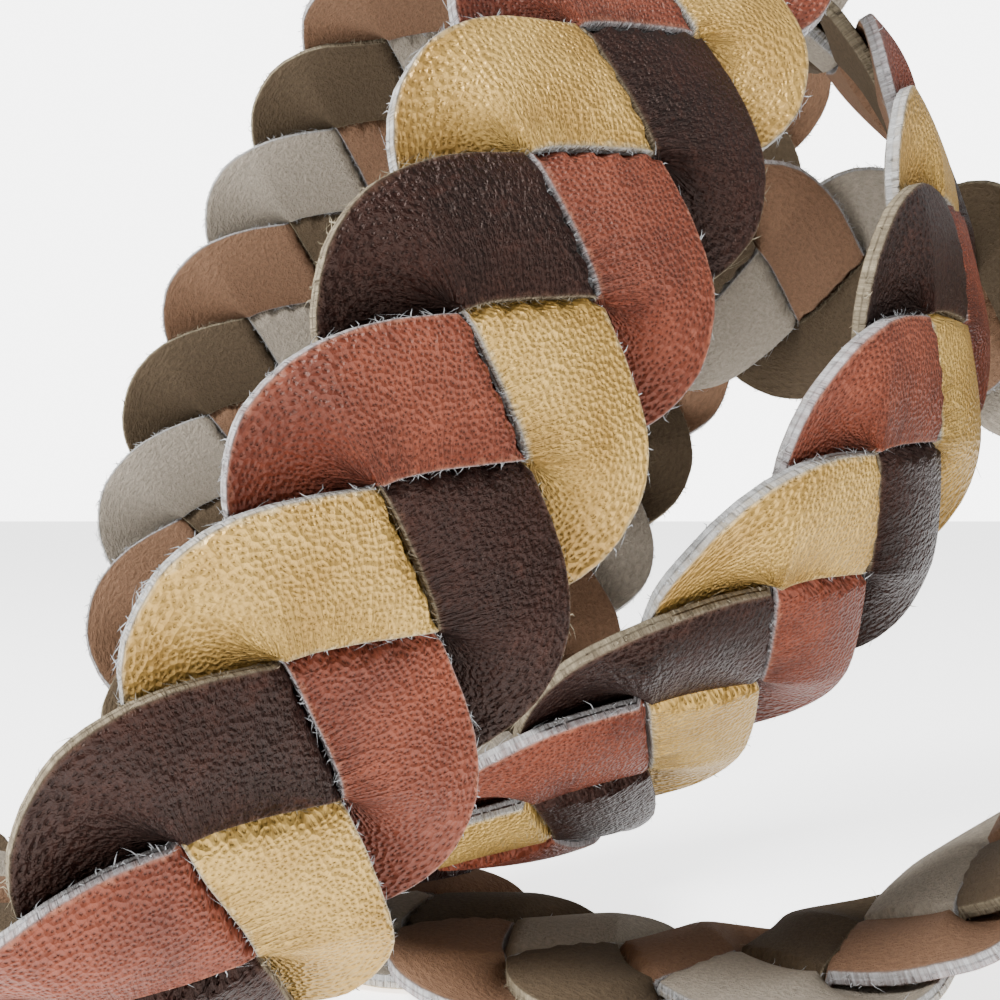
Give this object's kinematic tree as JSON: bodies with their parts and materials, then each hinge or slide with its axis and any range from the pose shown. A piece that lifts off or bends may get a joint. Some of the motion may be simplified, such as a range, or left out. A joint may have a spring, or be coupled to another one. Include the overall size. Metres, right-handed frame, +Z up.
{
  "type": "braided belt",
  "caption": "Three-strand braided leather belt lying in loose loops, with folded leather ends and a plain frame buckle.",
  "frame": {"origin": "middle of the whole belt's box in plan, on the surface that it rests on", "axes": "+Z up, +X to the right as the picture shows the belt, +Y away from the viewer"},
  "size_m": [0.2532, 0.1796, 0.1536],
  "materials": {
    "leather_gold": "satin, pebbled, slightly metallic",
    "leather_dark": "satin, creased, scuffed reddish",
    "leather_rust": "matt satin, fine dark pores",
    "leather_tab": "satin, folded strap leather",
    "brass": "brushed satin"
  },
  "bodies": {
    "root": {"strand_rust": "leather_rust", "strand_dark": "leather_dark", "strand_gold": "leather_gold", "buckle_tab": "leather_tab", "tip_tab": "leather_tab", "buckle": "brass"}
  },
  "joints": []
}
